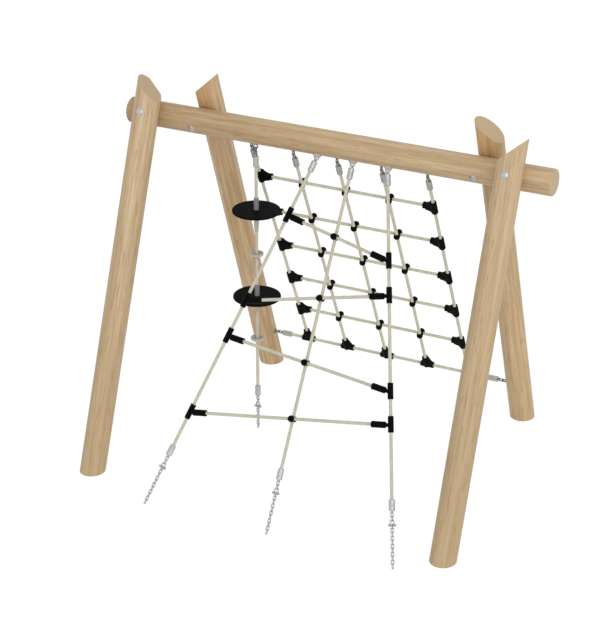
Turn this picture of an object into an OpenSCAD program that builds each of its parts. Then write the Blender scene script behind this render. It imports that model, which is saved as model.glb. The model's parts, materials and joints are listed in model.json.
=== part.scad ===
// Wooden climbing frame: a round-log A-frame carrying a climbing net,
// a zigzag rope ladder and a rope with two stepping discs.
// Units are millimetres, +Z is up, the ground is z = 0 and the origin is
// the centre of the footprint.

/* [Log frame] */
// Height of the beam axis above the ground
beam_height = 1800; // [1500:10:2200]
// Length of the top beam
beam_length = 2430; // [2330:10:3000]
// Diameter of the turned logs
log_d = 140; // [120:1:160]
// Bevel on the ends of the beam
beam_bevel = 5; // [1:0.5:12]
// Half the distance between the two front posts
front_post_spread = 1035; // [950:1:1080]
// Sideways offset of the front pair from the middle of the beam
front_post_shift = -22; // [-40:1:0]
// Half the distance between the two rear posts
rear_post_spread = 809; // [760:1:880]
// Sideways offset of the rear pair from the middle of the beam
rear_post_shift = 25; // [0:1:60]
// Distance of the feet from the line under the beam
foot_y = 815; // [650:1:950]
// How deep the posts are let in over the beam
saddle_depth = 12; // [6:0.5:20]
// Length of the front posts, foot to the middle of the slanted top
front_post_length = 2103; // [2000:1:2400]
// Length of the rear posts, foot to the middle of the slanted top
rear_post_length = 2135; // [2000:1:2400]
// Slant of the front post tops, degrees
front_top_slant = 41; // [0:1:44]
// Slant of the rear post tops, degrees
rear_top_slant = 42; // [0:1:44]
// How far the tops are turned back from the lean towards level, degrees
top_turn = 14; // [0:1:20]

/* [Post bolts] */
// Sideways angle of the rear bolts, which end left of their posts on the beam
rear_bolt_skew = 6; // [0:0.5:8]
// Diameter of the through bolts
bolt_d = 12; // [10:1:16]
// Width across the corners of bolt heads and nuts
hex_d = 21; // [18:0.5:26]
// Height of the bolt heads
bolt_head_h = 7.5; // [6:0.5:10]
// Height of the nuts
nut_h = 8; // [6:0.5:10]
// Thread left standing beyond each nut
bolt_tail = 1.5; // [0.5:0.5:3]
// Diameter of the washers
washer_d = 30; // [26:1:36]
// Thickness of the washers
washer_t = 3; // [2:0.5:4]
// Diameter of the counterbores for the bolt ends
bolt_pocket_d = 34; // [32:1:38]
// Depth of the counterbores
bolt_pocket_depth = 18; // [14:1:24]
// Diameter of the domed cover caps
cap_d = 42; // [38:1:48]
// Thickness of the rim of the cover caps
cap_rim = 3.6; // [3:0.1:6]
// Height of the dome above the rim
cap_dome = 6; // [3:0.5:10]
// Depth of the flat spot under each cap
cap_seat = 3.4; // [3.2:0.1:5]

/* [Ropes and rope ends] */
// Diameter of every rope
rope_d = 18; // [15:0.5:19]
// Space between two ropes where they cross
rope_gap = 1; // [0.5:0.1:3]
// Diameter of the pressed ferrules
ferrule_d = 32; // [28:1:38]
// Length of the pressed ferrules
ferrule_l = 60; // [50:1:75]
// Bevel on the ferrule edges
ferrule_bevel = 3; // [1:0.5:5]
// Depth of the rope hole in a ferrule
ferrule_bore = 46; // [40:1:52]
// Wire of the end loop of a ferrule
loop_wire = 6; // [5:0.5:7]
// Radius of the end loop, to the middle of the wire
loop_r = 7.5; // [7:0.1:9]

/* [Eye bolts] */
// Wire of the eye ring
ring_wire = 7; // [6:0.5:8]
// Hole in the eye ring
ring_hole = 16; // [15:0.5:20]
// Diameter of the shank in the wood
eye_shank_d = 12; // [10:1:14]
// Length of the shank in the wood
eye_shank_l = 52; // [40:1:58]
// Flange diameter of the net and disc rope eye bolts
flange_d = 28; // [26:1:30]
// Flange diameter of the ladder eye bolts
ladder_flange_d = 47; // [36:1:50]
// Thickness of the flange rim
flange_t = 3; // [2:0.5:5]
// Height of the cone between flange and ring
flange_cone = 7; // [4:0.5:9]
// Diameter of the cone at the ring
cone_end_d = 16; // [12:1:18]
// Height of the bell on the ladder eye bolts
bell_h = 17; // [12:0.5:18]
// Diameter of the bell at the ring
bell_end_d = 25; // [20:0.5:30]
// Depth of the flat seat of a flange in the log
eye_seat = 4; // [3.8:0.1:6]
// Distance from the seat to the middle of the ring
ring_drop = 22; // [20:0.5:26]

/* [Chain and shackles] */
// Wire of the chain links
chain_wire = 6; // [5:0.5:6]
// Inside length of a chain link
chain_pitch = 20.2; // [18.5:0.1:22]
// Inside width of a chain link
chain_inner_w = 8.4; // [8:0.1:10]
// Links in each ladder anchor chain
ladder_chain_links = 11; // [7:1:13]
// Links in the anchor chain of the disc rope
disc_chain_links = 7; // [5:1:9]
// Height of the chain ends over the ground
chain_end_gap = 4; // [3:0.5:10]
// Wire of the shackle bow
bow_wire = 7; // [6:0.5:7]
// Radius of the shackle bow, to the middle of the wire
bow_r = 10.5; // [9:0.5:12]
// Straight leg of the shackle bow
bow_leg = 16; // [14:0.5:20]
// Diameter of the lugs at the shackle pin
lug_d = 15; // [13:0.5:17]
// Diameter of the shackle pin
pin_d = 7; // [6:0.5:7]
// Length of the shackle pin
pin_l = 40; // [36:0.5:46]
// Diameter of the head and nut of the shackle pin
pin_head_d = 12; // [10:0.5:14]
// Height of the head and nut of the shackle pin
pin_head_h = 5; // [3:0.5:5.5]

/* [Climbing net] */
// Number of upright net ropes
net_uprights = 5; // [5:1:5]
// Number of cross ropes above the bottom rope
net_rows = 5; // [5:1:5]
// Sideways position of the middle of the net
net_x = 20; // [0:1:24]
// Distance between upright ropes
net_mesh = 254; // [240:0.5:256]
// Distance of the first cross rope behind the beam axis
net_first_y = 114; // [90:1:140]
// Height of the first cross rope
net_first_z = 1495; // [1450:1:1540]
// Distance between cross ropes along the net
net_pitch = 279; // [260:0.5:284]
// Height of the bottom rope
net_bottom_z = 249; // [220:1:270]
// Diameter of the net tees
tee_d = 36; // [28:0.5:38]
// Length of the sleeve of a net tee
tee_sleeve_l = 76; // [62:1:84]
// How far the sleeve of an edge tee sits above its arm
tee_rise = 6; // [0:0.5:10]
// Reach of the arm of a net tee from the rope axis
tee_arm = 64; // [56:1:72]
// Reach of the arm of a bottom tee from the rope axis
bottom_tee_arm = 73; // [60:1:84]
// Diameter of the lip around the mouth of a net tee
tee_lip_d = 38; // [31:0.5:40]
// Length of the lip around the mouth of a net tee
tee_lip_l = 9; // [5:0.5:14]
// Thickness of the web of a net tee
tee_web = 24; // [16:0.5:26]
// Distance of the rope end in a tee from the other rope axis
tee_rope_end = 27; // [25:1:36]
// Diameter of the two balls of a crossing clamp
clamp_d = 36; // [31:0.5:38]
// Diameter of the body between the balls of a crossing clamp
clamp_core_d = 30; // [28:0.5:30.5]
// Distance of each ball of a crossing clamp from its middle
clamp_step = 16.5; // [12:0.5:18]
// How far a net clamp sits behind the middle of its crossing
clamp_set = 3; // [0:0.5:4]
// How far a net clamp sits above the middle of its crossing
clamp_rise = 4; // [0:0.5:4]

/* [Rope ladder] */
// Sideways position of the ladder at the beam
ladder_top_x = 124; // [100:1:150]
// Sideways position of the ladder at the ground
ladder_ground_x = 101; // [80:1:130]
// Distance between neighbouring ladder ropes at the beam
ladder_top_step = 203; // [160:1:240]
// Distance between neighbouring ladder ropes at the ground
ladder_ground_step = 720; // [500:1:760]
// Distance of the ladder anchors in front of the beam axis
ladder_reach = 1014; // [900:1:1100]
// Distance of each rung from the beam axis on the left rope
rung_left = [410, 893, 1094, 1531];
// Distance of each rung from the beam axis on the right rope
rung_right = [545, 718, 1194, 1358];
// Length of the sleeve of a ladder tee
ladder_sleeve_l = 83; // [70:1:100]
// Diameter of the sleeve of a ladder tee
ladder_tee_d = 30; // [27:0.5:32]
// Diameter of the socket of a ladder tee
ladder_socket_d = 34; // [29:0.5:36]
// How far the sleeve of a ladder tee sits above its socket
ladder_tee_rise = 5; // [0:0.5:8]
// Diameter of the neck of a ladder tee
ladder_neck_d = 20; // [18:0.5:23]
// Distance from the rope axis to the start of the socket
ladder_socket_start = 26; // [24:1:34]
// Distance from the rope axis to the end of the socket
ladder_socket_end = 100; // [70:1:110]
// Distance from the rope axis to the end of the rung rope
ladder_rope_stop = 34; // [30:1:50]

/* [Disc rope] */
// Sideways position of the disc rope
disc_x = -458; // [-468:1:-442]
// Height of the top of the upper disc
disc_top_z = 1349; // [1250:1:1400]
// Distance between a disc and the next stop ring
disc_step = 255.5; // [220:0.5:280]
// Diameter of the discs
disc_d = 264; // [220:1:280]
// Thickness of the discs
disc_t = 12; // [10:0.5:16]
// Bevel on the edge of the discs
disc_bevel = 2; // [1:0.5:4]
// Diameter of the hub tubes
hub_d = 27.5; // [26:0.5:32]
// Height of the hub tube above the disc
hub_up = 67; // [50:1:80]
// Length of the straight hub tube under the upper disc
hub_down = 72; // [50:1:90]
// Length of the straight hub tube under the lower disc
lower_hub_down = 38; // [30:1:90]
// Length of the tapered end of the hub tube
hub_taper = 48; // [20:1:60]
// Diameter of the hub tube at the end of the taper
hub_taper_d = 21; // [20.5:0.5:25]
// Diameter of the shoulder that carries a disc
hub_shoulder_d = 62; // [50:1:90]
// Thickness of the shoulder that carries a disc
hub_shoulder_t = 5; // [3:0.5:10]
// Diameter of the stop rings
stop_d = 74; // [60:1:84]
// Height of the rim of the stop rings
stop_h = 15; // [10:0.5:20]
// Depth of the dish in the top of the stop rings
stop_dish = 7; // [3:0.5:9]
// Width of the rim of the stop rings
stop_rim = 4; // [3:0.5:8]
// Diameter of the sleeve under a stop ring
stop_sleeve_d = 34; // [28:1:40]
// Length of the sleeve under a stop ring
stop_sleeve_l = 16; // [8:1:24]

/* [Clearances] */
// Radial gap between a post seat and the beam
fit_saddle = 0.15; // [0.05:0.05:0.5]
// Radial gap around bolts, shanks and pins
fit_bolt = 0.15; // [0.05:0.05:0.5]
// Radial gap between a rope and the part that holds it
fit_rope = 0.1; // [0.05:0.05:0.4]
// Radial running gap between a disc and its hub
fit_disc = 0.05; // [0.02:0.01:0.1]
// Gap under a disc above its shoulder
fit_disc_face = 0.3; // [0.1:0.1:0.6]
// Gap between linked rings
fit_link = 0.3; // [0.2:0.05:0.6]
// Gap between flat faces that are screwed together
fit_face = 0.05; // [0.02:0.01:0.2]
// Gap between the tip of a link and the next ferrule
fit_tip = 2.3; // [1:0.1:4]

/* [Hidden] */
$fn = 64;

// Frame: the post axis passes the beam axis at post_off, which sets the lean
log_r = log_d / 2;
post_off = log_d - saddle_depth;
lean = acos(post_off / sqrt(foot_y * foot_y + beam_height * beam_height))
  - atan2(beam_height, foot_y);
post_at_beam = foot_y * sin(lean) + beam_height * cos(lean);
front_left_x = front_post_shift - front_post_spread;
front_right_x = front_post_shift + front_post_spread;
rear_left_x = rear_post_shift - rear_post_spread;
rear_right_x = rear_post_shift + rear_post_spread;
// side: -1 for the front pair, 1 for the rear pair; slant: sign of the top cut
POSTS = [[front_left_x, -1, front_post_length, front_top_slant],
         [front_right_x, -1, front_post_length, -front_top_slant],
         [rear_left_x, 1, rear_post_length, -rear_top_slant],
         [rear_right_x, 1, rear_post_length, rear_top_slant]];

// Eye bolts: distance from a log axis to the wire at the far end of the ring
ring_r = (ring_hole + ring_wire) / 2;
eye_mid = log_r - eye_seat + ring_drop;
eye_reach = eye_mid + ring_r;

// Chain: pitch of linked links and the inner run of one link
link_r = (chain_inner_w + chain_wire) / 2;
link_half = (chain_pitch - chain_inner_w) / 2;
link_step = chain_pitch - fit_link;
link_len = chain_pitch + 2 * chain_wire;

// Distances along a hanging rope to its ferrule, on the ladder from the middle
// of the ring and with a link from the far wire of the ring
loop_at_ring = ring_r + loop_r - ring_wire / 2 - loop_wire / 2 - fit_link;
ferrule_at_ring = ring_r + ring_wire / 2 + fit_tip;
link_at_ring = link_r + link_half - ring_wire / 2 - chain_wire / 2 - fit_link;
link_tip = link_at_ring + link_len / 2;
loop_at_link = link_tip - chain_wire - loop_wire / 2 - fit_link + loop_r;
ferrule_at_link = link_tip + fit_tip;

// Distances up an anchor from the tip of the lowest link
function pin_up(links) = (links - 1) * link_step + chain_wire + chain_pitch
  - pin_d / 2 - fit_link;
bow_top = bow_leg + bow_r - bow_wire / 2;
upper_link_1 = bow_top - fit_link - chain_wire;
upper_link_2 = upper_link_1 + link_step;
upper_tip = upper_link_2 + link_len;
loop_up = upper_tip - chain_wire - loop_wire / 2 - fit_link + loop_r;
ferrule_up = upper_tip + fit_tip;

// Net: one tilted plane from the beam to the rear post axes at the bottom rope;
// the cross ropes run behind it, the inner uprights in front of it
cross_off = (rope_d + rope_gap) / 2;
net_bottom_y = foot_y - net_bottom_z * tan(lean);
net_lean = atan2(net_bottom_y - net_first_y, net_first_z - net_bottom_z);
net_plane = net_first_y * cos(net_lean)
  - (beam_height - net_first_z) * sin(net_lean);
net_first_s = net_first_y * sin(net_lean)
  + (beam_height - net_first_z) * cos(net_lean);
net_last_s = net_bottom_y * sin(net_lean)
  + (beam_height - net_bottom_z) * cos(net_lean);
function net_rope_x(i) = net_x + (i - (net_uprights - 1) / 2) * net_mesh;
function net_edge(i) = i == 0 || i == net_uprights - 1;
function net_off(i) = net_plane - (net_edge(i) ? 0 : cross_off);
function net_row(j) = net_first_s + j * net_pitch;
function net_ring_s(i) = sqrt(eye_mid * eye_mid - net_off(i) * net_off(i))
  + ring_r;
bottom_end = eye_reach + ferrule_at_link + ferrule_l - ferrule_bore
  + fit_tip;

// Ladder: plane through the beam axis, with the rungs in front of it and the
// middle rope behind it
ladder_lean = atan2(ladder_reach, beam_height);
function lad_off(i) = i == 1 ? cross_off : 0;
function lad_top_x(i) = ladder_top_x + (i - 1) * ladder_top_step;
function lad_top_s(i) = sqrt(eye_reach * eye_reach - lad_off(i) * lad_off(i))
  - ring_r;
function lad_end_x(i) = ladder_ground_x + (i - 1) * ladder_ground_step;
function lad_end_s(i) = (beam_height - chain_end_gap
  - lad_off(i) * sin(ladder_lean)) / cos(ladder_lean);
function lad_turn(i) = atan2(lad_top_x(i) - lad_end_x(i),
  lad_end_s(i) - lad_top_s(i));
function lad_len(i) = (lad_end_s(i) - lad_top_s(i)) / cos(lad_turn(i));
function lad_x(i, s) = lad_top_x(i) - (s - lad_top_s(i)) * tan(lad_turn(i));
function rung_dx(k) = lad_x(2, rung_right[k]) - lad_x(0, rung_left[k]);
function rung_ds(k) = rung_right[k] - rung_left[k];
function rung_turn(k) = atan2(rung_ds(k), rung_dx(k));
function rung_len(k) = sqrt(rung_dx(k) * rung_dx(k)
  + rung_ds(k) * rung_ds(k));
function rung_mid(k) = (lad_x(1, rung_left[k]) - lad_x(0, rung_left[k]))
  / (rung_dx(k) + rung_ds(k) * tan(lad_turn(1)));
ladder_anchor = pin_up(ladder_chain_links);
ladder_ferrule = ladder_anchor + ferrule_up;

// Disc rope, measured down from the beam axis
disc_ring = eye_reach;
disc_ferrule = disc_ring + ferrule_at_link + link_step;
disc_anchor = chain_end_gap + pin_up(disc_chain_links);
disc_low_ferrule = disc_anchor + ferrule_up;

// The footprint runs from the ladder chains to the rear feet
chain_front = (lad_end_s(0) - (link_r + chain_wire / 2) * cos(lad_turn(0)))
  * sin(ladder_lean) + chain_wire / 2 + link_r
  * sqrt(1 - pow(sin(ladder_lean) * sin(lad_turn(0)), 2));
foot_back = foot_y + log_r / cos(lean);
origin_y = (chain_front - foot_back) / 2;
cut = beam_length;

// Frames
module at_beam() translate([0, origin_y, beam_height]) children();
module net_frame() at_beam() rotate([net_lean, 0, 0]) children();
module ladder_frame() at_beam() rotate([-ladder_lean, 0, 0]) children();
module post_frame(p) translate([p[0], origin_y + p[1] * foot_y, 0])
  rotate([p[1] * lean, 0, 0]) children();
// a bolt frame looks along +Z from the beam side out through the post
module bolt_frame(p) post_frame(p) translate([0, 0, post_at_beam])
  rotate([-p[1] * 90, 0, 0]) translate([0, 0, log_r])
  rotate([0, p[1] > 0 ? rear_bolt_skew : 0, 0]) translate([0, 0, -log_r])
  children();
module net_rope_frame(i) net_frame()
  translate([net_rope_x(i), net_off(i), 0]) children();
module net_eye_frame(i) net_frame() translate([net_rope_x(i), 0, 0])
  rotate([asin(net_off(i) / eye_mid), 0, 0]) children();
module ladder_rope_frame(i) ladder_frame()
  translate([lad_top_x(i), lad_off(i), -lad_top_s(i)])
  rotate([0, lad_turn(i), 0]) children();
module ladder_eye_frame(i) ladder_frame() translate([lad_top_x(i), 0, 0])
  rotate([asin(lad_off(i) / eye_reach), 0, 0]) children();
module ladder_anchor_frame(i) ladder_rope_frame(i)
  translate([0, 0, -lad_len(i)]) children();
module rung_frame(k) ladder_frame()
  translate([lad_x(0, rung_left[k]), -cross_off, -rung_left[k]])
  rotate([0, rung_turn(k), 0]) children();
module disc_frame() at_beam() translate([disc_x, 0, 0]) children();
module disc_ground() translate([disc_x, origin_y, 0]) children();
// the bottom rope frame points down the rope from a rear post axis
module side_frame(left) translate([left ? rear_left_x : rear_right_x,
  origin_y + net_bottom_y, net_bottom_z]) rotate([0, left ? -90 : 90, 0])
  children();

// Basic shapes
module half_ring(r, wire) rotate([90, 0, 0]) rotate_extrude(angle = 180)
  translate([r, 0]) circle(d = wire);
module rod(d, from, to) translate([0, 0, from]) cylinder(d = d, h = to - from);

module chain_link() {
  for (m = [0, 1]) mirror([0, 0, m]) translate([0, 0, link_half])
    half_ring(link_r, chain_wire);
  for (s = [-1, 1]) translate([s * link_r, 0, -link_half])
    cylinder(d = chain_wire, h = 2 * link_half);
}

// ferrule hanging down -Z from its loop; loop centre at `loop`, face at `face`
module ferrule(loop, face, turn) {
  difference() {
    union() {
      rod(ferrule_d, -face - ferrule_l + ferrule_bevel, -face - ferrule_bevel);
      translate([0, 0, -face - ferrule_bevel]) cylinder(d1 = ferrule_d,
        d2 = ferrule_d - 2 * ferrule_bevel, h = ferrule_bevel);
      translate([0, 0, -face - ferrule_l]) cylinder(
        d1 = ferrule_d - 2 * ferrule_bevel, d2 = ferrule_d, h = ferrule_bevel);
      rotate([0, 0, turn]) {
        translate([0, 0, -loop]) half_ring(loop_r, loop_wire);
        for (s = [-1, 1]) translate([s * loop_r, 0, 0])
          rod(loop_wire, -face - ferrule_bevel, -loop);
      }
    }
    rod(rope_d + 2 * fit_rope, -face - ferrule_l - cut, -face - ferrule_l + ferrule_bore);
  }
}

// eye bolt with its log axis at the origin, ring down -Z
module eye_bolt(base_d, turn) {
  seat = log_r - eye_seat + fit_face;
  rod(eye_shank_d, -seat - flange_t, -seat + eye_shank_l);
  rod(base_d, -seat - flange_t, -seat);
  translate([0, 0, -seat - flange_t - flange_cone]) cylinder(
    d1 = cone_end_d, d2 = base_d, h = flange_cone);
  eye_ring(turn);
}
module eye_ring(turn) translate([0, 0, -eye_reach + ring_r])
  rotate([90, 0, turn]) rotate_extrude() translate([ring_r, 0])
  circle(d = ring_wire);
// ladder eye bolt: a rounded bell hides the upper half of the ring
module bell_bolt() {
  seat = log_r - eye_seat + fit_face;
  rod(eye_shank_d, -seat - flange_t, -seat + eye_shank_l);
  translate([0, 0, -seat]) mirror([0, 0, 1]) rotate_extrude() polygon([[0, 0],
    [ladder_flange_d / 2, 0], [ladder_flange_d / 2, flange_t],
    [ladder_flange_d * 0.46, flange_t + bell_h * 0.3],
    [ladder_flange_d * 0.38, flange_t + bell_h * 0.65],
    [bell_end_d / 2, flange_t + bell_h], [0, flange_t + bell_h]]);
  eye_ring(0);
}
module eye_pocket(base_d) {
  seat = log_r - eye_seat;
  rod(eye_shank_d + 2 * fit_bolt, -seat - eye_seat, -seat + eye_shank_l + fit_tip);
  rod(base_d + 2 * fit_tip, -seat - log_r, -seat);
}

// shackle with its pin on the X axis, bow up +Z
module shackle_bow() {
  difference() {
    union() {
      translate([0, 0, bow_leg]) half_ring(bow_r, bow_wire);
      for (s = [-1, 1]) translate([s * bow_r, 0, 0]) {
        rod(bow_wire, 0, bow_leg);
        rotate([0, 90, 0]) translate([0, 0, -bow_wire / 2])
          cylinder(d = lug_d, h = bow_wire);
      }
    }
    translate([-pin_l, 0, 0]) rotate([0, 90, 0])
      cylinder(d = pin_d + 2 * fit_bolt, h = 2 * pin_l);
  }
}
module shackle_pin() {
  rotate([0, 90, 0]) {
    rod(pin_d, -pin_l / 2, pin_l / 2);
    for (m = [0, 1]) mirror([0, 0, m]) rod(pin_head_d,
      pin_l / 2 - pin_head_h, pin_l / 2);
  }
}
// chain from its lowest tip up +Z, then the two links above the shackle
module anchor_chain(links) {
  for (k = [0 : links - 1]) translate([0, 0, link_len / 2 + k * link_step])
    rotate([0, 0, (k + links) % 2 == 1 ? 90 : 0]) chain_link();
  translate([0, 0, pin_up(links)]) {
    translate([0, 0, upper_link_1 + link_len / 2]) rotate([0, 0, 90]) chain_link();
    translate([0, 0, upper_link_2 + link_len / 2]) chain_link();
  }
}

// net tee: sleeve along Z raised by `rise`, arm along +X shifted sideways
module net_tee(shift, rise, arm) {
  half = tee_sleeve_l / 2;
  difference() {
    union() {
      rod(tee_d, rise - half, rise + half);
      translate([0, shift, 0]) rotate([0, 90, 0]) {
        rod(tee_d, 0, arm - tee_lip_l / 2);
        rod(tee_lip_d, arm - tee_lip_l, arm);
      }
      translate([0, tee_web / 2 + shift / 2, 0]) rotate([90, 0, 0])
        linear_extrude(tee_web) polygon([[0, rise - half],
        [tee_d / 2, rise - half], [arm * 0.38, rise * 0.6 - half * 0.74],
        [arm * 0.58, rise * 0.3 - half * 0.56], [arm * 0.8, -tee_d * 0.47],
        [arm * 0.8, tee_d * 0.47], [arm * 0.58, rise * 0.3 + half * 0.56],
        [arm * 0.38, rise * 0.6 + half * 0.74], [tee_d / 2, rise + half],
        [0, rise + half]]);
    }
    rod(rope_d + 2 * fit_rope, -tee_sleeve_l, tee_sleeve_l);
    translate([tee_rope_end - fit_tip, shift, 0]) rotate([0, 90, 0])
      cylinder(d = rope_d + 2 * fit_rope, h = arm);
  }
}
// crossing clamp: two balls on a short body along Y, with a rope through the
// back and one through the front; both lie along Z before their turn
module crossing_clamp(back, front, set, rise) difference() {
  translate([0, set, rise]) rotate([90, 0, 0]) {
    rod(clamp_core_d, -clamp_step, clamp_step);
    for (m = [0, 1]) mirror([0, 0, m]) translate([0, 0, clamp_step])
      sphere(d = clamp_d);
  }
  translate([0, cross_off, 0]) rotate([0, back, 0])
    rod(rope_d + 2 * fit_rope, -clamp_d, clamp_d);
  translate([0, -cross_off, 0]) rotate([0, front, 0])
    rod(rope_d + 2 * fit_rope, -clamp_d, clamp_d);
}

// Wooden frame
module post(p) {
  difference() {
    post_frame(p) difference() {
      rod(log_d, -log_r, p[2] + log_d);
      translate([0, 0, p[2]]) rotate([-p[1] * top_turn, 0, 0])
        rotate([0, p[3], 0]) translate([-cut / 2, -cut / 2, 0]) cube(cut);
      translate([-log_d, p[1] > 0 ? -log_d - post_off + log_r + fit_saddle
        : post_off - log_r - fit_saddle, post_at_beam])
        cube([2 * log_d, log_d, cut]);
    }
    translate([p[0] - log_d, origin_y + p[1] * foot_y - log_d, -log_d])
      cube([2 * log_d, 2 * log_d, log_d]);
    at_beam() translate([p[0] - log_d, 0, 0]) rotate([0, 90, 0])
      cylinder(d = log_d + 2 * fit_saddle, h = 2 * log_d);
    bolt_frame(p) bolt_hole();
  }
}
// bolt frame: post axis at the origin, beam axis at -post_off
module bolt_hole() {
  rod(bolt_d + 2 * fit_bolt, -post_off - log_r, log_r);
  rod(bolt_pocket_d, log_r - bolt_pocket_depth, log_r);
  rod(cap_d + 2 * fit_bolt, log_r - cap_seat, log_r + cap_seat);
  rod(bolt_pocket_d, -post_off - log_r, -post_off - log_r + bolt_pocket_depth);
  rod(cap_d + 2 * fit_bolt, -post_off - log_r - cap_seat, -post_off - log_r + cap_seat);
}
head_seat = log_r - bolt_pocket_depth;
nut_seat = -post_off - log_r + bolt_pocket_depth;

module beam() color("BurlyWood") difference() {
  at_beam() rotate([0, 90, 0]) {
    rod(log_d, -beam_length / 2 + beam_bevel, beam_length / 2 - beam_bevel);
    for (m = [0, 1]) mirror([0, 0, m])
      translate([0, 0, beam_length / 2 - beam_bevel]) cylinder(d1 = log_d,
      d2 = log_d - 2 * beam_bevel, h = beam_bevel);
  }
  for (p = POSTS) bolt_frame(p) bolt_hole();
  for (i = [0 : net_uprights - 1]) net_eye_frame(i) eye_pocket(flange_d);
  for (i = [0 : 2]) ladder_eye_frame(i) eye_pocket(ladder_flange_d);
  disc_frame() eye_pocket(flange_d);
}
module front_left_post() color("BurlyWood") post(POSTS[0]);
module front_right_post() color("BurlyWood") post(POSTS[1]);
module rear_left_post() color("BurlyWood") difference() {
  post(POSTS[2]);
  side_frame(true) eye_pocket(flange_d);
}
module rear_right_post() color("BurlyWood") difference() {
  post(POSTS[3]);
  side_frame(false) eye_pocket(flange_d);
}
module post_bolts() color("Silver") for (p = POSTS) bolt_frame(p) {
  rod(bolt_d, nut_seat - washer_t - nut_h - bolt_tail,
    head_seat + washer_t + 2 * fit_face);
  translate([0, 0, head_seat + washer_t + 2 * fit_face])
    cylinder(d = hex_d, h = bolt_head_h, $fn = 6);
}
module post_bolt_washers() color("Silver") for (p = POSTS) bolt_frame(p)
  for (z = [head_seat + fit_face, nut_seat - fit_face - washer_t])
    difference() {
      rod(washer_d, z, z + washer_t);
      rod(bolt_d + 2 * fit_bolt, z - washer_t, z + 2 * washer_t);
    }
module post_bolt_nuts() color("Silver") for (p = POSTS) bolt_frame(p)
  translate([0, 0, nut_seat - washer_t - 2 * fit_face - nut_h]) difference() {
    cylinder(d = hex_d, h = nut_h, $fn = 6);
    rod(bolt_d + 2 * fit_face, -nut_h, 2 * nut_h);
  }
module post_bolt_cap() {
  cap_r = cap_d / 2;
  dome_r = (cap_r * cap_r + cap_dome * cap_dome) / (2 * cap_dome);
  rod(cap_d, 0, cap_rim);
  intersection() {
    translate([0, 0, cap_rim + cap_dome - dome_r]) sphere(r = dome_r);
    rod(cap_d, cap_rim, cap_rim + cap_dome);
  }
}
module post_bolt_caps() color("LightGray") for (p = POSTS) bolt_frame(p) {
  translate([0, 0, log_r - cap_seat + fit_face]) post_bolt_cap();
  translate([0, 0, -post_off - log_r + cap_seat - fit_face])
    mirror([0, 0, 1]) post_bolt_cap();
}

// Climbing net
module net_upright(i) color("Wheat") net_rope_frame(i) rod(rope_d,
  -net_last_s + tee_rope_end,
  -net_ring_s(i) - ferrule_at_link - ferrule_l + ferrule_bore - fit_tip);
module net_upright_1() net_upright(0);
module net_upright_2() net_upright(1);
module net_upright_3() net_upright(2);
module net_upright_4() net_upright(3);
module net_upright_5() net_upright(4);
module net_cross_rope(j) color("Wheat") net_frame()
  translate([0, net_plane + cross_off, -net_row(j)]) rotate([0, 90, 0])
  rod(rope_d, net_rope_x(0) + tee_rope_end,
    net_rope_x(net_uprights - 1) - tee_rope_end);
module net_cross_rope_1() net_cross_rope(0);
module net_cross_rope_2() net_cross_rope(1);
module net_cross_rope_3() net_cross_rope(2);
module net_cross_rope_4() net_cross_rope(3);
module net_cross_rope_5() net_cross_rope(4);
module net_bottom_rope() color("Wheat") net_frame()
  translate([0, net_plane, -net_last_s]) rotate([0, 90, 0])
  rod(rope_d, rear_left_x + bottom_end, rear_right_x - bottom_end);
module net_cross_clamps() color("DimGray") net_frame()
  for (i = [1 : net_uprights - 2], j = [0 : net_rows - 1])
    translate([net_rope_x(i), net_plane, -net_row(j)]) crossing_clamp(90, 0,
      clamp_set, clamp_rise);
module net_edge_tees() color("DimGray") for (i = [0, net_uprights - 1],
    j = [0 : net_rows - 1]) net_rope_frame(i) translate([0, 0, -net_row(j)])
  rotate([0, 0, i == 0 ? 0 : 180]) net_tee(i == 0 ? cross_off : -cross_off,
    tee_rise, tee_arm);
module net_bottom_tees() color("DimGray") net_frame()
  for (i = [0 : net_uprights - 1])
    translate([net_rope_x(i), net_plane, -net_last_s]) rotate([0, -90, 0])
      net_tee(net_off(i) - net_plane, 0, bottom_tee_arm);
module net_top_ferrules() color("Silver") for (i = [0 : net_uprights - 1])
  net_rope_frame(i) translate([0, 0, -net_ring_s(i)])
    ferrule(loop_at_link, ferrule_at_link, 90);
module net_side_ferrules() color("Silver") for (left = [true, false])
  side_frame(left) translate([0, 0, -eye_reach])
    ferrule(loop_at_link, ferrule_at_link, 90);
module net_top_eye_bolts() color("Silver") for (i = [0 : net_uprights - 1])
  net_eye_frame(i) eye_bolt(flange_d, 90);
module net_side_eye_bolts() color("Silver") for (left = [true, false])
  side_frame(left) eye_bolt(flange_d, 90);
module net_hanger_links() color("Silver") {
  for (i = [0 : net_uprights - 1]) net_rope_frame(i)
    translate([0, 0, -net_ring_s(i) - link_at_ring]) chain_link();
  for (left = [true, false]) side_frame(left)
    translate([0, 0, -eye_reach - link_at_ring]) chain_link();
}

// Rope ladder
module ladder_rope(i) color("Wheat") ladder_rope_frame(i) rod(rope_d,
  -lad_len(i) + ladder_ferrule + ferrule_l - ferrule_bore + fit_tip,
  -ferrule_at_ring - ferrule_l + ferrule_bore - fit_tip);
module ladder_rope_left() ladder_rope(0);
module ladder_rope_middle() ladder_rope(1);
module ladder_rope_right() ladder_rope(2);
module ladder_rung(k) color("Wheat") rung_frame(k) rotate([0, 90, 0])
  rod(rope_d, ladder_rope_stop, rung_len(k) - ladder_rope_stop);
module ladder_rung_1() ladder_rung(0);
module ladder_rung_2() ladder_rung(1);
module ladder_rung_3() ladder_rung(2);
module ladder_rung_4() ladder_rung(3);
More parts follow.
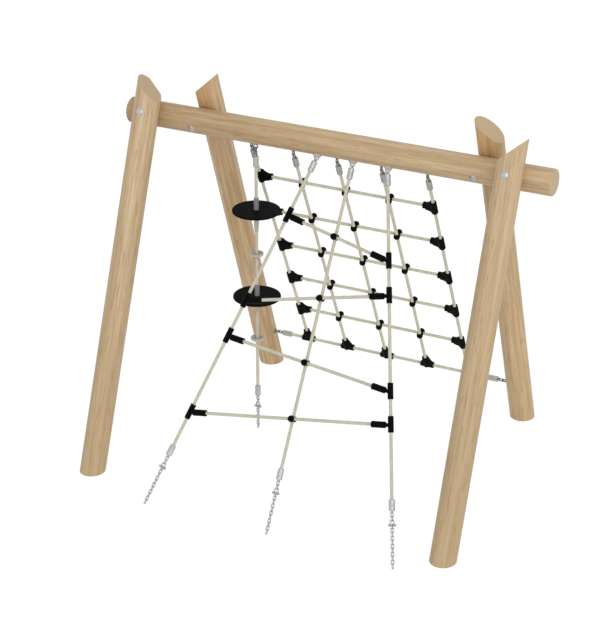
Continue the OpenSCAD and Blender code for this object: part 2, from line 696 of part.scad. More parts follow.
// tee with its socket along +X and its sleeve along a ladder rope beside it
module ladder_tee(turn, shift) difference() {
  union() {
    translate([0, shift, 0]) rotate([0, turn, 0]) rod(ladder_tee_d,
      ladder_tee_rise - ladder_sleeve_l / 2, ladder_tee_rise + ladder_sleeve_l / 2);
    rotate([0, 90, 0]) {
      rod(ladder_neck_d, 0, ladder_socket_start);
      rod(ladder_socket_d, ladder_socket_start, ladder_socket_end);
    }
  }
  translate([0, shift, 0]) rotate([0, turn, 0]) rod(rope_d + 2 * fit_rope,
    -ladder_sleeve_l, ladder_sleeve_l);
  rotate([0, 90, 0]) rod(rope_d + 2 * fit_rope, ladder_rope_stop - fit_tip,
    ladder_socket_end + fit_tip);
}
module ladder_tees() color("DimGray") for (k = [0 : len(rung_left) - 1]) {
  rung_frame(k) ladder_tee(lad_turn(0) - rung_turn(k), cross_off);
  rung_frame(k) translate([rung_len(k), 0, 0]) rotate([0, 0, 180])
    ladder_tee(rung_turn(k) - lad_turn(2), -cross_off);
}
module ladder_ball_clamps() color("DimGray") for (k = [0 : len(rung_left) - 1])
  rung_frame(k) translate([rung_mid(k) * rung_len(k), cross_off, 0])
    crossing_clamp(lad_turn(1) - rung_turn(k), 90, 0, 0);
module ladder_top_ferrules() color("Silver") for (i = [0 : 2])
  ladder_rope_frame(i) ferrule(loop_at_ring, ferrule_at_ring, 90);
module ladder_bottom_ferrules() color("Silver") for (i = [0 : 2])
  ladder_anchor_frame(i) translate([0, 0, ladder_anchor]) mirror([0, 0, 1])
    ferrule(loop_up, ferrule_up, 90);
module ladder_eye_bolts() color("Silver") for (i = [0 : 2])
  ladder_eye_frame(i) bell_bolt();
module ladder_anchor_shackles() color("Silver") for (i = [0 : 2])
  ladder_anchor_frame(i) translate([0, 0, ladder_anchor]) shackle_bow();
module ladder_anchor_pins() color("Silver") for (i = [0 : 2])
  ladder_anchor_frame(i) translate([0, 0, ladder_anchor]) shackle_pin();
module ladder_anchor_chain(i) color("Silver") ladder_anchor_frame(i)
  anchor_chain(ladder_chain_links);
module ladder_anchor_chain_left() ladder_anchor_chain(0);
module ladder_anchor_chain_middle() ladder_anchor_chain(1);
module ladder_anchor_chain_right() ladder_anchor_chain(2);

// Disc rope
module disc_rope() color("Wheat") disc_ground() rod(rope_d,
  disc_low_ferrule + ferrule_l - ferrule_bore + fit_tip,
  beam_height - disc_ferrule - ferrule_l + ferrule_bore - fit_tip);
module step_disc(top) color("DimGray") disc_ground() translate([0, 0, top - disc_t])
  rotate_extrude() polygon([[hub_d / 2 + fit_disc, 0],
    [disc_d / 2 - disc_bevel, 0], [disc_d / 2, disc_bevel],
    [disc_d / 2, disc_t - disc_bevel], [disc_d / 2 - disc_bevel, disc_t],
    [hub_d / 2 + fit_disc, disc_t]]);
module upper_disc() step_disc(disc_top_z);
module lower_disc() step_disc(disc_top_z - 2 * disc_step);
module disc_hub(top, down) color("Gray") disc_ground() translate([0, 0, top]) difference() {
  union() {
    rod(hub_d, -disc_t - down, hub_up);
    rod(hub_shoulder_d, -disc_t - fit_disc_face - hub_shoulder_t,
      -disc_t - fit_disc_face);
    translate([0, 0, -disc_t - down - hub_taper])
      cylinder(d1 = hub_taper_d, d2 = hub_d, h = hub_taper);
  }
  rod(rope_d + 2 * fit_rope, -cut, cut);
}
module upper_disc_hub() disc_hub(disc_top_z, hub_down);
module lower_disc_hub() disc_hub(disc_top_z - 2 * disc_step, lower_hub_down);
module stop_ring(top) color("LightGray") disc_ground() translate([0, 0, top - stop_h])
  rotate_extrude() polygon([[rope_d / 2 + fit_rope, -stop_sleeve_l],
    [rope_d / 2 + flange_t, -stop_sleeve_l], [stop_sleeve_d / 2, 0],
    [stop_d / 2 - stop_rim / 2, 0], [stop_d / 2, stop_rim / 2],
    [stop_d / 2, stop_h], [stop_d / 2 - stop_rim, stop_h],
    [rope_d / 2 + fit_rope, stop_h - stop_dish]]);
module upper_stop_ring() stop_ring(disc_top_z - disc_step);
module lower_stop_ring() stop_ring(disc_top_z - 3 * disc_step);
module disc_rope_top_ferrule() color("Silver") disc_frame()
  translate([0, 0, -disc_ring]) ferrule(loop_at_link + link_step, ferrule_at_link + link_step, 90);
module disc_rope_bottom_ferrule() color("Silver") disc_ground()
  translate([0, 0, disc_anchor]) mirror([0, 0, 1]) ferrule(loop_up, ferrule_up, 90);
module disc_rope_eye_bolt() color("Silver") disc_frame() eye_bolt(flange_d, 0);
module disc_rope_hanger_links() color("Silver") disc_frame() for (k = [0, 1])
  translate([0, 0, -disc_ring - link_at_ring - k * link_step])
    rotate([0, 0, k == 0 ? 90 : 0]) chain_link();
module disc_rope_anchor_chain() color("Silver") disc_ground()
  translate([0, 0, chain_end_gap]) anchor_chain(disc_chain_links);
module disc_rope_anchor_shackle() color("Silver") disc_ground()
  translate([0, 0, disc_anchor]) shackle_bow();
module disc_rope_anchor_pin() color("Silver") disc_ground()
  translate([0, 0, disc_anchor]) shackle_pin();

beam();
front_left_post();
front_right_post();
rear_left_post();
rear_right_post();
post_bolts();
post_bolt_washers();
post_bolt_nuts();
post_bolt_caps();
net_upright_1();
net_upright_2();
net_upright_3();
net_upright_4();
net_upright_5();
net_cross_rope_1();
net_cross_rope_2();
net_cross_rope_3();
net_cross_rope_4();
net_cross_rope_5();
net_bottom_rope();
net_cross_clamps();
net_edge_tees();
net_bottom_tees();
net_top_ferrules();
net_side_ferrules();
net_top_eye_bolts();
net_side_eye_bolts();
net_hanger_links();
ladder_rope_left();
ladder_rope_middle();
ladder_rope_right();
ladder_rung_1();
ladder_rung_2();
ladder_rung_3();
ladder_rung_4();
ladder_tees();
ladder_ball_clamps();
ladder_top_ferrules();
ladder_bottom_ferrules();
ladder_eye_bolts();
ladder_anchor_shackles();
ladder_anchor_pins();
ladder_anchor_chain_left();
ladder_anchor_chain_middle();
ladder_anchor_chain_right();
disc_rope();
upper_disc();
lower_disc();
upper_disc_hub();
lower_disc_hub();
upper_stop_ring();
lower_stop_ring();
disc_rope_top_ferrule();
disc_rope_bottom_ferrule();
disc_rope_eye_bolt();
disc_rope_hanger_links();
disc_rope_anchor_chain();
disc_rope_anchor_shackle();
disc_rope_anchor_pin();
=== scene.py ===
import json
import math
import bmesh
import bpy
import numpy as np
from mathutils import Matrix, Vector


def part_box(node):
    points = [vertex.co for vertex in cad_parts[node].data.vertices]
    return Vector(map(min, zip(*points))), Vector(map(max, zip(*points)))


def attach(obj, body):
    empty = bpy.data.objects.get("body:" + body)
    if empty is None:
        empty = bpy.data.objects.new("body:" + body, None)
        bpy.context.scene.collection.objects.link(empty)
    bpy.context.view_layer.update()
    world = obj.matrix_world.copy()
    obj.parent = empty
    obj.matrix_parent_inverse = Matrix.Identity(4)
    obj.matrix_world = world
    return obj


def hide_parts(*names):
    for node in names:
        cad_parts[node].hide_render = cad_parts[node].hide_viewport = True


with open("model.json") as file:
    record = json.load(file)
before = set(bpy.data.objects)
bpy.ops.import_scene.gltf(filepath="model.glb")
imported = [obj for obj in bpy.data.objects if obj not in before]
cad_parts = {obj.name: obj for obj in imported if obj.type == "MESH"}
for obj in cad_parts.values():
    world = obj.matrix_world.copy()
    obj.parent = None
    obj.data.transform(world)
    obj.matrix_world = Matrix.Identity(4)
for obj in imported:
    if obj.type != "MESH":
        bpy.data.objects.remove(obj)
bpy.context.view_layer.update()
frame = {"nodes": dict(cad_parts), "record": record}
nodes = frame["nodes"]

# Viewpoint. The frame is seen from its front right corner, from above head
# height and through a long lens, so the posts stay nearly parallel.
picture_width, focal_length = 613, 1995.55  # both in pixels
eye = Vector((4.13227, -8.77782, 5.48846))
turn, rise, tilt = (math.radians(a) for a in (25.87, 25.57, 0.18))
back = Vector((math.sin(turn) * math.cos(rise), -math.cos(turn) * math.cos(rise), math.sin(rise)))
level = Vector((math.cos(turn), math.sin(turn), 0))
upright = back.cross(level)
right = level * math.cos(tilt) + upright * math.sin(tilt)
up = upright * math.cos(tilt) - level * math.sin(tilt)
lens = bpy.data.cameras.new("viewpoint")
lens.sensor_fit = "HORIZONTAL"
lens.sensor_width = 36
lens.lens = focal_length * lens.sensor_width / picture_width
lens.clip_end = 200
viewpoint = bpy.data.objects.new("viewpoint", lens)
viewpoint.matrix_world = Matrix.Translation(eye) @ Matrix((right, up, back)).transposed().to_4x4()
bpy.context.collection.objects.link(viewpoint)
bpy.context.scene.camera = viewpoint
bpy.context.scene.view_settings.view_transform = "Standard"


# Studio. A wide pale floor under a white surround and one large soft lamp near
# the viewer, as for a catalogue picture.
class Wire:
    """A shader socket that Python sums can be written with."""

    def __init__(self, tree, socket=None):
        self.tree, self.socket = tree, socket

    def node(self, kind, settings, inputs, out=0):
        made = self.tree.nodes.new(kind)
        for key, value in settings.items():
            setattr(made, key, value)
        for key, value in inputs.items():
            if isinstance(value, Wire):
                self.tree.links.new(value.socket, made.inputs[key])
            elif made.inputs[key].type == "RGBA":
                made.inputs[key].default_value = (*value, 1)
            else:
                made.inputs[key].default_value = value
        return Wire(self.tree, made.outputs[out] if made.outputs else None)

    def maths(self, operation, *values):
        return self.node("ShaderNodeMath", {"operation": operation}, dict(enumerate(values)))

    def vectors(self, operation, *values, out=0):
        return self.node("ShaderNodeVectorMath", {"operation": operation}, dict(enumerate(values)), out)

    def mix(self, share, a, b, blend="MIX"):
        # 6, 7 and 2 are the node's colour sockets, which share their names with others
        return self.node("ShaderNodeMix", {"data_type": "RGBA", "blend_type": blend},
                         {0: share, 6: a, 7: b}, 2)

    def step(self, low, high):
        return self.node("ShaderNodeMapRange", {"interpolation_type": "SMOOTHSTEP"},
                         {"Value": self, "From Min": low, "From Max": high})

    def noise(self, place, scale, detail=2.0, rough=0.5, out=0):
        stretched = self.vectors("MULTIPLY", place, scale)
        return self.node("ShaderNodeTexNoise", {}, {
            "Vector": stretched, "Scale": 1.0, "Detail": detail, "Roughness": rough}, out)

    def part(self, letter):
        return self.node("ShaderNodeSeparateXYZ", {}, {0: self}, letter)

    def feed(self, shader, socket):
        self.tree.links.new(self.socket, shader.inputs[socket])

    def __add__(self, other):
        return self.maths("ADD", self, other)

    def __radd__(self, other):
        return self.maths("ADD", other, self)

    def __sub__(self, other):
        return self.maths("SUBTRACT", self, other)

    def __rsub__(self, other):
        return self.maths("SUBTRACT", other, self)

    def __mul__(self, other):
        return self.maths("MULTIPLY", self, other)

    def __rmul__(self, other):
        return self.maths("MULTIPLY", other, self)

    def __truediv__(self, other):
        return self.maths("DIVIDE", self, other)

    def __rtruediv__(self, other):
        return self.maths("DIVIDE", other, self)

    def __pow__(self, other):
        return self.maths("POWER", self, other)

    def __rpow__(self, other):
        return self.maths("POWER", other, self)

    def __abs__(self):
        return self.maths("ABSOLUTE", self)


def seen(wire):
    """1 for the rays that show the background: straight on, mirrored or through glass."""
    camera, glossy, clear = (wire.node("ShaderNodeLightPath", {}, {}, f"Is {kind} Ray")
                             for kind in ("Camera", "Glossy", "Transmission"))
    return wire.maths("MAXIMUM", wire.maths("MAXIMUM", camera, glossy), clear)


floor_reach, floor_drop = 60.0, 0.0006
floor_paper = (0.80, 0.80, 0.80)
floor_glow, floor_glow_share = 1.095, 0.86
floor_mesh = bpy.data.meshes.new("floor")
floor_mesh.from_pydata([(x * floor_reach, y * floor_reach, -floor_drop)
                        for x, y in ((-1, -1), (1, -1), (1, 1), (-1, 1))], [], [(0, 1, 2, 3)])
floor = bpy.data.objects.new("floor", floor_mesh)
bpy.context.collection.objects.link(floor)
pale = bpy.data.materials.new("pale_floor")
pale.use_nodes = True
pale.node_tree.nodes.clear()
sheet = Wire(pale.node_tree)
shadowed = sheet.node("ShaderNodeBsdfDiffuse", {}, {"Color": floor_paper})
white = sheet.node("ShaderNodeEmission", {}, {"Color": (1, 1, 1), "Strength": floor_glow})
lit = sheet.node("ShaderNodeMixShader", {}, {0: seen(sheet) * floor_glow_share, 1: shadowed, 2: white})
sheet.node("ShaderNodeOutputMaterial", {}, {"Surface": lit})
floor_mesh.materials.append(pale)

sky_light = 0.68
surround = bpy.data.worlds.new("surround")
bpy.context.scene.world = surround
surround.use_nodes = True
surround.node_tree.nodes.clear()
sky = Wire(surround.node_tree)
glow = sky.node("ShaderNodeBackground", {}, {
    "Color": (1, 1, 1), "Strength": sky_light + seen(sky) * (1 - sky_light)})
sky.node("ShaderNodeOutputWorld", {}, {"Surface": glow})

toward_lamp = Vector((0.60, -0.68, 0.42))
lamp = bpy.data.lights.new("key_lamp", "SUN")
lamp.energy, lamp.angle = 1.08, math.radians(60)
stand = bpy.data.objects.new("key_lamp", lamp)
stand.rotation_euler = toward_lamp.to_track_quat("Z", "Y").to_euler()
bpy.context.collection.objects.link(stand)

# Beam and posts. Turned softwood logs: each post is saddled over the beam and
# cut on a slant at the top. The grain runs along them, and the arrises left
# by the saw are eased with sandpaper.
ring_width, ring_waver = 0.0135, 0.055
pith_wander, pith_offset = 0.07, 0.024
turned_skin = (0.0668, 0.0690)  # from the log's axis
drift_span = (0.2, 2.0)  # along the log
plain_wood, fair_wood = (0.578, 0.412, 0.228), (0.628, 0.462, 0.268)
sawn_wood, late_wood = (0.740, 0.440, 0.212), (0.375, 0.250, 0.125)
pale_band, dark_band = (0.720, 0.560, 0.365), (0.455, 0.300, 0.155)
streak_brown, fibre_brown = (0.400, 0.255, 0.130), (0.430, 0.275, 0.140)
fleck_brown, pore_brown = (0.300, 0.190, 0.095), (0.330, 0.200, 0.100)


def turned_log(name, start, end, seed, figure, butt_tint_and_light, tip_tint_and_light, end_grain):
    """Wood of a log from start to end; figure is the grain's strength at butt and tip."""
    finish = bpy.data.materials.new(name)
    finish.use_nodes = True
    log = Wire(finish.node_tree)
    axis = (Vector(end) - Vector(start)).normalized()
    local = log.node("ShaderNodeMapping", {"vector_type": "TEXTURE"}, {
        "Vector": log.node("ShaderNodeTexCoord", {}, {}, "Object"), "Location": tuple(start),
        "Rotation": tuple(axis.to_track_quat("Z", "Y").to_euler())})
    # each log takes another stretch of the same grain
    shifted = log.vectors("ADD", local, (0, 0, seed * 3.7))
    # the pith wanders along the log, so the rings cut the surface in long flames
    wander = log.noise(shifted, (0.0, 0.0, 1.3), 1.0, 0.4, "Color")
    pith_angle = seed * 2.1
    pith = log.vectors("MULTIPLY_ADD", wander, (pith_wander, pith_wander, 0), (
        pith_offset * math.cos(pith_angle) - pith_wander / 2,
        pith_offset * math.sin(pith_angle) - pith_wander / 2, 0))
    spoke = log.vectors("MULTIPLY", log.vectors("SUBTRACT", local, pith), (1, 1, 0))
    reach = log.vectors("LENGTH", spoke, out="Value")
    reach = reach + (log.noise(shifted, (18.0, 18.0, 2.2), 3.0, 0.6) - 0.5) * ring_waver
    season = log.maths("FRACT", reach / ring_width)
    late = season ** 4.0 * (1 - season.step(0.94, 1.0))
    late = late * log.noise(shifted, (30.0, 30.0, 2.5), 2.0).step(0.34, 0.60)
    fibre = log.noise(shifted, (330.0, 330.0, 6.0), 3.0, 0.6)
    band = log.noise(shifted, (36.0, 36.0, 1.3), 2.5, 0.55)
    streak = log.noise(shifted, (120.0, 120.0, 1.6), 3.0, 0.55)
    fleck = log.noise(shifted, (120.0, 120.0, 9.0), 1.5, 0.5).step(0.60, 0.70)
    pores = log.noise(shifted, (520.0, 520.0, 22.0), 1.0).step(0.6, 0.72)
    tone = log.noise(shifted, (9.0, 9.0, 0.8), 2.0)
    facing = log.node("ShaderNodeTexCoord", {}, {}, "Normal")
    cut = abs(log.vectors("DOT_PRODUCT", facing, tuple(axis), out="Value")).step(0.45, 0.6)
    side = 1 - cut
    # the flats sawn to fit the beam lie deeper than the turned skin and are redder
    girth = log.vectors("LENGTH", log.vectors("MULTIPLY", local, (1, 1, 0)), out="Value")
    sawn = (1 - girth.step(*turned_skin)) * side
    # the strength of the figure drifts from butt to tip, and so does a factor that multiplies the colour:
    # on the beam and the front posts it is painted light, darker at the butt and lighter at the tip,
    # as the lamp's light falls along them; on the rear posts it is an even warm tint
    drift = local.part("Z").step(*drift_span)
    strength = figure[0] + drift * (figure[1] - figure[0])
    colour = log.mix(tone.step(0.3, 0.7), plain_wood, fair_wood)
    for share, shade in (
            (sawn * (0.42 + band.step(0.42, 0.58) * 0.20), sawn_wood),
            (late * (0.30 + side * 0.45) * strength, late_wood),
            (band.step(0.46, 0.66) * (side - sawn) * strength * 0.62, pale_band),
            ((1 - band.step(0.32, 0.50)) * side * strength * 0.50, dark_band),
            ((1 - streak.step(0.36, 0.52)) * side * 0.36, streak_brown),
            ((1 - fibre.step(0.34, 0.56)) * side * 0.28, fibre_brown),
            (fleck * side * 0.42, fleck_brown),
            (pores * side * 0.22, pore_brown)):
        colour = log.mix(share, colour, shade)
    # painted light: the butt and tip factors darken the butt and lighten the tip
    colour = log.mix(1.0, colour, log.mix(drift, butt_tint_and_light, tip_tint_and_light), "MULTIPLY")
    colour = log.mix(cut * 0.55, colour, end_grain)
    relief = log.node("ShaderNodeBump", {}, {
        "Strength": 0.22, "Distance": 0.0012, "Height": fibre * 0.5 + late * 0.35 - pores * 0.4})
    shader = finish.node_tree.nodes["Principled BSDF"]
    shader.inputs["Specular IOR Level"].default_value = 0.35
    colour.feed(shader, "Base Color")
    (0.40 + fibre * 0.14 + late * 0.08).feed(shader, "Roughness")
    relief.feed(shader, "Normal")
    return finish


def eased(node, piece_name, finish, edge, body="frame", steps=2):
    """A copy of a node with its sharp edges rounded by edge, in place of the node."""
    weld, flat, sharp, crease = 2e-5, math.radians(0.15), math.radians(32), math.radians(48)
    shape = bmesh.new()
    shape.from_mesh(nodes[node].data)
    bmesh.ops.remove_doubles(shape, verts=shape.verts, dist=weld)
    bmesh.ops.dissolve_limit(shape, angle_limit=flat, verts=shape.verts, edges=shape.edges)
    arrises = [e for e in shape.edges if len(e.link_faces) == 2 and e.calc_face_angle(0) > sharp]
    bmesh.ops.bevel(shape, geom=arrises, offset=edge, offset_type="OFFSET", segments=steps,
                    profile=0.5, affect="EDGES", clamp_overlap=True)
    bmesh.ops.triangulate(shape, faces=[f for f in shape.faces if len(f.verts) > 4])
    mesh = bpy.data.meshes.new(piece_name)
    shape.to_mesh(mesh)
    shape.free()
    mesh.polygons.foreach_set("use_smooth", [True] * len(mesh.polygons))
    mesh.set_sharp_from_angle(angle=crease)
    mesh.materials.append(finish)
    piece = bpy.data.objects.new(piece_name, mesh)
    bpy.context.collection.objects.link(piece)
    even = piece.modifiers.new("even_shading", "WEIGHTED_NORMAL")
    even.keep_sharp = True
    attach(piece, body)
    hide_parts(node)
    return piece


low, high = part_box("beam")
middle = (low + high) / 2
# painted light: the beam is darker at its left end and lighter at its right end
beam_grain = turned_log(
    "beam_grain", (low.x, middle.y, middle.z), (high.x, middle.y, middle.z), 1, (0.9, 0.9),
    butt_tint_and_light=(0.865, 0.835, 0.815), tip_tint_and_light=(1.03, 1.045, 1.07), end_grain=(0.490, 0.384, 0.246))
eased("beam", "beam_log", beam_grain, edge=0.0012)

lean = math.radians(20.645)
post_figures = {"front_left": (0.45, 1.10), "front_right": (0.45, 0.75),
                "rear_left": (1.25, 1.25), "rear_right": (0.80, 1.05)}
# painted light: each front post is darker at its foot and lighter at its top
front_stem = {"butt_tint_and_light": (0.915, 0.915, 0.915), "tip_tint_and_light": (1.03, 1.045, 1.07),
              # painted shade: the front posts get darker end grain than the rear posts and the beam, to
              # darken their lit slanted tops
              "end_grain": (0.420, 0.322, 0.212)}
rear_stem = {"butt_tint_and_light": (1.04, 1.01, 0.98), "tip_tint_and_light": (1.04, 1.01, 0.98),
             "end_grain": (0.480, 0.375, 0.240)}
for seed, (corner, figure) in enumerate(post_figures.items(), 2):
    inward, stem = (1, front_stem) if "front" in corner else (-1, rear_stem)
    foot = next(m["pos_m"] for m in frame["record"]["mounts"] if m["name"] == corner + "_foot")
    head = (foot[0], foot[1] + inward * math.sin(lean), foot[2] + math.cos(lean))
    grain = turned_log(corner + "_grain", foot, head, seed, figure, **stem)
    eased(corner + "_post", corner + "_log", grain, edge=0.0022)


# Bolts and cover caps. Zinc-plated bolts, washers and nuts sit in holes in the
# logs, and domed caps of silver-grey plastic press over both ends of each.
def moulded(name, colour, rough, grain, depth, gloss):
    """Moulded plastic or rubber with a fine grain."""
    finish = bpy.data.materials.new(name)
    finish.use_nodes = True
    skin = Wire(finish.node_tree)
    place = skin.node("ShaderNodeTexCoord", {}, {}, "Object")
    fine = skin.noise(place, (grain, grain, grain), 2.0, 0.6)
    broad = skin.noise(place, (14.0, 14.0, 14.0), 3.0, 0.6)
    paler = tuple(c * 1.12 + 0.001 for c in colour)
    shade = skin.mix(broad.step(0.35, 0.75) * 0.5 + fine.step(0.5, 0.8) * 0.35, colour, paler)
    relief = skin.node("ShaderNodeBump", {}, {"Strength": 0.3, "Distance": depth, "Height": fine})
    shader = finish.node_tree.nodes["Principled BSDF"]
    shader.inputs["Specular IOR Level"].default_value = gloss
    shade.feed(shader, "Base Color")
    (rough + (broad - 0.5) * 0.16 + (fine - 0.5) * 0.1).feed(shader, "Roughness")
    relief.feed(shader, "Normal")
    return finish


def zinc(name, colour, rough):
    """Hot-dip or electroplated zinc: soft grey metal with a faint spangle."""
    finish = bpy.data.materials.new(name)
    finish.use_nodes = True
    plate = Wire(finish.node_tree)
    place = plate.node("ShaderNodeTexCoord", {}, {}, "Object")
    spangle = plate.node("ShaderNodeTexVoronoi", {}, {"Vector": place, "Scale": 190.0}, "Color")
    spangle = plate.node("ShaderNodeSeparateColor", {}, {0: spangle})
    cloud = plate.noise(place, (60.0, 60.0, 60.0), 3.0, 0.6)
    dull = tuple(c * 0.72 for c in colour)
    shade = plate.mix(cloud.step(0.35, 0.7) * 0.6 + spangle * 0.3, colour, dull)
    relief = plate.node("ShaderNodeBump", {}, {"Strength": 0.15, "Distance": 0.0004, "Height": cloud})
    shader = finish.node_tree.nodes["Principled BSDF"]
    shader.inputs["Metallic"].default_value = 0.9
    shade.feed(shader, "Base Color")
    (rough + cloud * 0.14 + spangle * 0.08).feed(shader, "Roughness")
    relief.feed(shader, "Normal")
    return finish


def dress(node, finish):
    """Gives a node of the frame a finish of its own."""
    for held in nodes[node].material_slots:
        held.material = finish


plated = zinc("plated_steel", (0.60, 0.60, 0.61), rough=0.30)
for node in ("post_bolts", "post_bolt_washers", "post_bolt_nuts"):
    dress(node, plated)

cap_rim_shade, cap_underside_shade = (0.230, 0.212, 0.225), (0.88, 0.82, 0.74)
cap_grey = moulded("cap_grey", (0.52, 0.515, 0.520),
                   rough=0.27, grain=700.0, depth=0.0003, gloss=0.5)
cap_shader = cap_grey.node_tree.nodes["Principled BSDF"]
cap_shader.inputs["Metallic"].default_value = 0.6
dome = Wire(cap_grey.node_tree, cap_shader.inputs["Base Color"].links[0].from_socket)
facing = dome.node("ShaderNodeTexCoord", {}, {}, "Normal")
bolt_runs = [(0, math.cos(lean), slope * math.sin(lean)) for slope in (-1, 1)]
crown = dome.maths("MAXIMUM", *(
    abs(dome.vectors("DOT_PRODUCT", facing, run, out="Value")) for run in bolt_runs)).step(0.74, 1.0)
# painted shade: the rim round each crown is darker, standing in for the shading at the dome's edge
wear_and_shade = dome.mix((1 - crown) * 0.85, dome, cap_rim_shade)
# painted shade: the sides that face down are darker, as shade falls under them
facing_up = facing.part("Z").step(-0.40, 0.35)
dome.mix(1 - facing_up, wear_and_shade, cap_underside_shade, "MULTIPLY").feed(cap_shader, "Base Color")
dress("post_bolt_caps", cap_grey)

# Ropes. Each is a laid rope, eighteen millimetres thick, of six strands of
# beige polyester yarn over a wire core; all of them are stretched tight
# between their ferrules and joints.
rope_lay, strands, yarns = 0.104, 6, 54
strand_radius = 0.42  # for a rope of radius 1
strand_points = [math.radians(a) for a in (-30, -21, -8, 8, 21)]  # either side of a crest
strand_crease = math.radians(70)
ring_step = 0.0062
fresh_yarn, worn_yarn = (0.630, 0.617, 0.480), (0.715, 0.705, 0.575)
yarn_gap, strand_groove_shade, loose_fibre = (0.470, 0.450, 0.330), (0.350, 0.325, 0.225), (0.760, 0.745, 0.620)


def laid_yarn(name, tint_and_light):
    """Yarn with dark lines between strands and yarns; the last argument multiplies all of it, and for the
    net's yarn it is painted light.
    """
    finish = bpy.data.materials.new(name)
    finish.use_nodes = True
    rope = Wire(finish.node_tree)
    lay = rope.node("ShaderNodeUVMap", {"uv_map": "lay"}, {})
    across, along = lay.part("X"), lay.part("Y")
    strand = rope.maths("PINGPONG", rope.maths("FRACT", across * float(strands)), 0.5) * 2.0
    yarn = rope.maths("PINGPONG", (across + along * (1 / rope_lay)) * float(yarns), 0.5) * 2.0
    place = rope.node("ShaderNodeTexCoord", {}, {}, "Object")
    wear_and_shade = rope.noise(place, (26.0, 26.0, 26.0), 3.0, 0.6)
    fuzz = rope.noise(place, (900.0, 900.0, 900.0), 2.0, 0.6)
    shade = rope.mix(wear_and_shade.step(0.3, 0.7), fresh_yarn, worn_yarn)
    shade = rope.mix((1 - yarn.step(0.0, 0.55)) * 0.35, shade, yarn_gap)
    # painted shade: the grooves between the strands are darker
    shade = rope.mix((1 - strand.step(0.0, 0.4)) * 0.55, shade, strand_groove_shade)
    shade = rope.mix(fuzz.step(0.55, 0.8) * 0.25, shade, loose_fibre)
    shade = rope.mix(1.0, shade, tint_and_light, "MULTIPLY")
    relief = rope.node("ShaderNodeBump", {}, {
        "Strength": 0.5, "Distance": 0.0008, "Height": yarn * 0.7 + fuzz * 0.3})
    shader = finish.node_tree.nodes["Principled BSDF"]
    shader.inputs["Specular IOR Level"].default_value = 0.2
    shade.feed(shader, "Base Color")
    (0.78 + fuzz * 0.12).feed(shader, "Roughness")
    relief.feed(shader, "Normal")
    return finish


def rope_line(node):
    """The two ends and the radius of the rod that holds a rope's place."""
    points = np.unique(np.round([v.co for v in nodes[node].data.vertices], 6), axis=0)
    middle = points.mean(0)
    run = np.linalg.svd(points - middle, full_matrices=False)[2][0]
    place = (points - middle) @ run
    near = 1e-3
    ends = [points[abs(place - end) < near].mean(0) for end in (place.min(), place.max())]
    thick = np.linalg.norm(points - middle - np.outer(place, run), axis=1).max()
    return Vector(ends[0]), Vector(ends[1]), thick


def laid_rope(node, yarn):
    """A rope with round strands, in place of the plain rod of a node."""
    start, end, thick = rope_line(node)
    if start.z < end.z:
        start, end = end, start
    run = end - start
    side = run.normalized().orthogonal().normalized()
    other = run.normalized().cross(side)
    # round strands lie side by side about the core and turn once in each lay
    core = 1 - strand_radius
    bulge = [core * math.cos(a) + math.sqrt(strand_radius ** 2 - (core * math.sin(a)) ** 2)
             for a in strand_points]
    angle = np.array([s * math.tau / strands + a for s in range(strands) for a in strand_points])
    reach = np.array(bulge * strands) * thick
    count = len(angle)
    rings = max(2, int(run.length / ring_step) + 1)
    down = np.linspace(0, run.length, rings)
    theta = angle[None, :] + math.tau * down[:, None] / rope_lay
    line = np.array(start) + np.outer(down, np.array(run.normalized()))
    spots = (line[:, None, :] + (reach * np.cos(theta))[:, :, None] * np.array(side)
             + (reach * np.sin(theta))[:, :, None] * np.array(other))
    ring = np.arange(count)
    after = (ring + 1) % count
    base = (np.arange(rings - 1) * count)[:, None]
    walls = np.stack([base + ring, base + after, base + count + after, base + count + ring], 2)
    last = (rings - 1) * count
    caps = [list(reversed(range(count))), list(range(last, last + count))]
    mesh = bpy.data.meshes.new(node + "_laid")
    mesh.from_pydata(spots.reshape(-1, 3).tolist(), [], walls.reshape(-1, 4).tolist() + caps)
    uv = np.zeros((rings - 1, count, 4, 2))
    uv[:, :, 0, 0] = uv[:, :, 3, 0] = ring / count
    uv[:, :, 1, 0] = uv[:, :, 2, 0] = (ring + 1) / count
    uv[:, :, 0, 1] = uv[:, :, 1, 1] = down[:-1, None]
    uv[:, :, 2, 1] = uv[:, :, 3, 1] = down[1:, None]
    cap_uv = np.full(2 * count * len(caps), 0.25)
    lay = np.concatenate([uv.reshape(-1), cap_uv]).astype(np.float32)
    mesh.uv_layers.new(name="lay").uv.foreach_set("vector", lay)
    mesh.polygons.foreach_set("use_smooth", [True] * len(mesh.polygons))
    mesh.set_sharp_from_angle(angle=strand_crease)
    mesh.materials.append(yarn)
    rope = bpy.data.objects.new(node + "_laid", mesh)
    bpy.context.collection.objects.link(rope)
    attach(rope, "frame")
    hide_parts(node)


beige_yarn = laid_yarn("beige_yarn", (1.02, 1.02, 1.02))
# painted light: the net's yarn is lighter than the ladder's, to make up for the shade the leaning net
# hangs in
net_yarn_painted_light = laid_yarn("net_yarn_painted_light", (1.14, 1.14, 1.14))
disc_yarn = laid_yarn("disc_yarn", (1.11, 1.05, 1.02))
for group, names, yarn in (
        ("net_upright_", range(1, 6), net_yarn_painted_light),
        ("net_cross_rope_", range(1, 6), net_yarn_painted_light),
        ("ladder_rung_", range(1, 5), beige_yarn),
        ("ladder_rope_", ("left", "middle", "right"), beige_yarn)):
    for name in names:
        laid_rope(f"{group}{name}", yarn)
laid_rope("net_bottom_rope", net_yarn_painted_light)
laid_rope("disc_rope", disc_yarn)

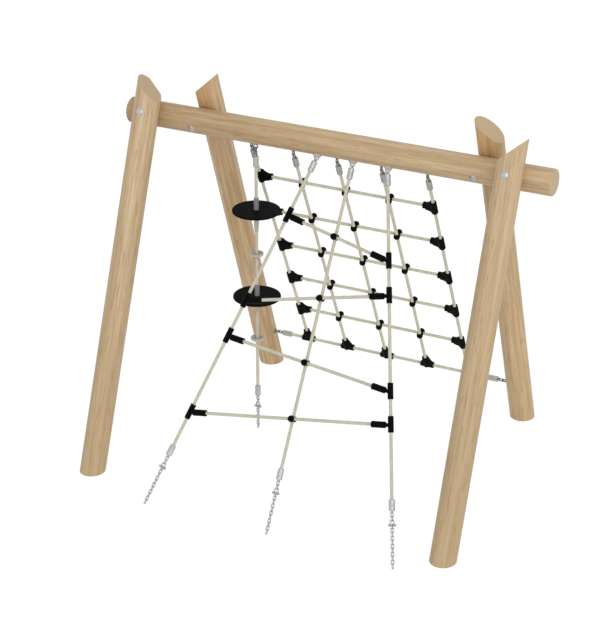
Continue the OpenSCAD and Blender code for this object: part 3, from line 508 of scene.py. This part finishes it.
# Rope joints. Black nylon mouldings grip the ropes where they cross or meet:
# two-ball clamps where ropes cross, gusseted tees in the net, slim tees on the
# ladder.
nylon = moulded("black_nylon", (0.0022, 0.0022, 0.0024),
                rough=0.58, grain=620.0, depth=0.0004, gloss=0.045)
for node in ("net_cross_clamps", "net_edge_tees", "net_bottom_tees", "ladder_tees", "ladder_ball_clamps"):
    eased(node, node + "_moulded", nylon, edge=0.0012)

# Rope ends. Light alloy ferrules are pressed over the rope ends, and each has
# a steel loop for its link.
alloy = zinc("pressed_alloy", (0.56, 0.56, 0.56), rough=0.46)
# painted shade: the net's ferrules get a darker copy of the alloy
shaded_alloy = zinc("shaded_alloy", (0.50, 0.505, 0.485), rough=0.48)
for node, finish in (
        ("net_top_ferrules", shaded_alloy), ("net_side_ferrules", shaded_alloy),
        ("ladder_top_ferrules", alloy), ("ladder_bottom_ferrules", alloy),
        ("disc_rope_top_ferrule", alloy), ("disc_rope_bottom_ferrule", alloy)):
    eased(node, node + "_pressed", finish, edge=0.0008)

# Eye bolts, links, shackles and chain. Galvanised steel: the eyes are screwed
# into the logs, and short chains tie the lower ends to the ground. The
# ladder's eyes are flanged and coated grey.
galvanised = zinc("galvanised_steel", (0.535, 0.535, 0.54), rough=0.40)
for node in ("ladder_anchor_shackles", "ladder_anchor_pins", "ladder_anchor_chain_left",
             "ladder_anchor_chain_middle", "ladder_anchor_chain_right", "disc_rope_anchor_chain",
             "disc_rope_anchor_shackle", "disc_rope_anchor_pin"):
    dress(node, galvanised)
# painted shade: the net's and the disc rope's eyes and links get a darker copy of the zinc, for the shade
# they sit in
shaded_galvanised = zinc("shaded_galvanised_steel", (0.25, 0.25, 0.245), rough=0.44)
for node in ("net_top_eye_bolts", "net_side_eye_bolts", "net_hanger_links", "disc_rope_eye_bolt",
             "disc_rope_hanger_links"):
    dress(node, shaded_galvanised)
bell_grey = moulded("bell_grey", (0.505, 0.438, 0.410),
                    rough=0.42, grain=700.0, depth=0.0003, gloss=0.3)
dress("ladder_eye_bolts", bell_grey)

# Stepping discs. Two black rubber discs turn on grey plastic hub tubes, and a
# pale dished ring stands on the rope below each of them.
rubber = moulded("black_rubber", (0.0034, 0.0040, 0.0040),
                 rough=0.66, grain=420.0, depth=0.0006, gloss=0.034)
for which in ("upper", "lower"):
    eased(f"{which}_disc", f"{which}_disc_moulded", rubber,
          edge=0.0015, body=f"{which}_disc", steps=3)

plastic = {"grain": 600.0, "depth": 0.0003, "gloss": 0.3}
hub_grey = moulded("hub_grey", (0.260, 0.252, 0.250), rough=0.42, **plastic)
hub_pale = moulded("hub_pale", (0.500, 0.505, 0.430), rough=0.42, **plastic)
ring_grey = moulded("ring_grey", (0.525, 0.482, 0.468), rough=0.42, **plastic)
ring_shaded_inside = moulded("ring_shaded_inside", (0.430, 0.390, 0.370), rough=0.50, **plastic)
rim_depth, upward = 0.0015, 0.3
for which in ("upper", "lower"):
    # the tube is paler below its disc, and the ring is darker inside its rim: painted shade in the dish
    tube = eased(f"{which}_disc_hub", f"{which}_hub_tube", hub_grey, edge=0.0008)
    tube.data.materials.append(hub_pale)
    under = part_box(f"{which}_disc")[0].z
    tube.data.polygons.foreach_set("material_index", [int(f.center.z < under) for f in tube.data.polygons])
    dish = eased(f"{which}_stop_ring", f"{which}_ring_dish", ring_grey, edge=0.001)
    dish.data.materials.append(ring_shaded_inside)
    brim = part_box(f"{which}_stop_ring")[1].z - rim_depth
    dish.data.polygons.foreach_set("material_index", [
        int(f.normal.z > upward and f.center.z < brim) for f in dish.data.polygons])
